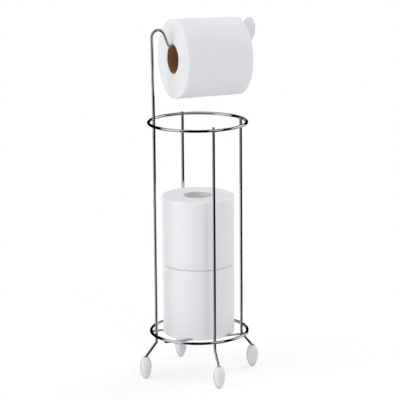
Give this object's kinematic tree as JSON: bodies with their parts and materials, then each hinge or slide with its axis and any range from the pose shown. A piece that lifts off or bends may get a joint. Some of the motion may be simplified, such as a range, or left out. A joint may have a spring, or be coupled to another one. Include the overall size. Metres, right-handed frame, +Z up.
{
  "type": "freestanding toilet paper holder",
  "caption": "Freestanding toilet paper holder: a chromed wire basket on bead feet that stacks spare rolls, with a gooseneck arm that carries the roll in use.",
  "frame": {"origin": "on the floor, under the axis that the two rings share", "axes": "+Z up; +X along the arm, from its upright towards the knob; -Y towards the front upright"},
  "size_m": [0.196, 0.196, 0.5613],
  "materials": {
    "chromed_wire": "polished",
    "white_bead": "gloss",
    "white_paper": "matte",
    "brown_cardboard": "matte",
    "pale_cardboard": "matte"
  },
  "bodies": {
    "stand": {"lower_ring": "chromed_wire", "upper_ring": "chromed_wire", "arm_upright": "chromed_wire", "front_upright": "chromed_wire", "back_upright": "chromed_wire", "right_upright": "chromed_wire", "base_wire_front": "chromed_wire", "base_wire_back": "chromed_wire", "foot_left": "white_bead", "foot_front": "white_bead", "foot_right": "white_bead", "foot_back": "white_bead", "arm_knob": "white_bead"},
    "hanging_roll": {"hanging_roll_paper": "white_paper", "hanging_roll_core": "brown_cardboard"},
    "lower_spare": {"lower_spare_paper": "white_paper", "lower_spare_core": "pale_cardboard"},
    "upper_spare": {"upper_spare_paper": "white_paper", "upper_spare_core": "pale_cardboard"}
  },
  "joints": [
    {"name": "roll_spin", "type": "hinge", "parent": "stand", "child": "hanging_roll", "pos_m": [0.01341, 0, 0.49971], "axis": [0.9979, 0.0628, -0.0175], "continuous": true},
    {"name": "lower_spare_lift", "type": "slide", "parent": "stand", "child": "lower_spare", "axis": [0, 0, 1], "range_m": [0, 0.04]},
    {"name": "upper_spare_lift", "type": "slide", "parent": "lower_spare", "child": "upper_spare", "axis": [0, 0, 1], "range_m": [0, 0.11]}
  ]
}
